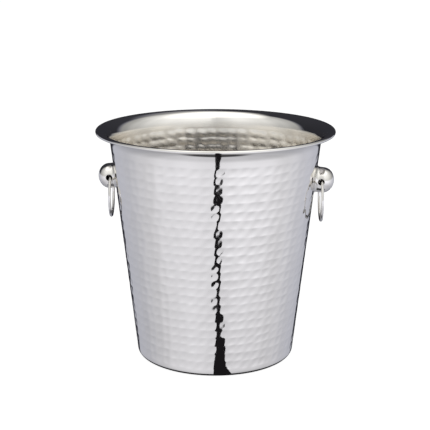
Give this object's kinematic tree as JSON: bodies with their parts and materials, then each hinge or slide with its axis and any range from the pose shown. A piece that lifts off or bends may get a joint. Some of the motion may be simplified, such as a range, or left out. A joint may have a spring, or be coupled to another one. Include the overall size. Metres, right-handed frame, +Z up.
{
  "type": "champagne bucket",
  "caption": "Tapered hammered-steel champagne bucket with a flared rolled rim and round side knobs that carry swinging ring handles.",
  "frame": {"origin": "centre of the foot, on the surface that the bucket stands on", "axes": "+Z up along the bucket's axis, X through the two knobs with the right-hand handle at +X, the front at -Y"},
  "size_m": [0.22, 0.22, 0.215],
  "materials": {
    "hammered_steel": "bright polished stainless steel, hammered in close rows of shallow dimples below a smooth flared rim",
    "polished_steel": "smooth mirror-polished stainless steel",
    "ring_wire": "polished round stainless wire",
    "fastener_steel": "plain turned and stamped stainless steel",
    "seal_rubber": "matt black sealing rubber"
  },
  "bodies": {
    "bucket": {"bucket_shell": "hammered_steel", "left_knob": "polished_steel", "left_sealing_washer": "seal_rubber", "left_plate_washer": "fastener_steel", "left_cap_nut": "fastener_steel", "right_knob": "polished_steel", "right_sealing_washer": "seal_rubber", "right_plate_washer": "fastener_steel", "right_cap_nut": "fastener_steel"},
    "left_ring_handle": {"left_ring": "ring_wire"},
    "right_ring_handle": {"right_ring": "ring_wire"}
  },
  "joints": [
    {"name": "left_ring_swing", "type": "hinge", "parent": "bucket", "child": "left_ring_handle", "pos_m": [-0.09791, 0, 0.1684], "axis": [0, 1, 0], "range_deg": [-11, 176]},
    {"name": "right_ring_swing", "type": "hinge", "parent": "bucket", "child": "right_ring_handle", "pos_m": [0.09791, 0, 0.1684], "axis": [0, -1, 0], "range_deg": [-11, 176]}
  ]
}
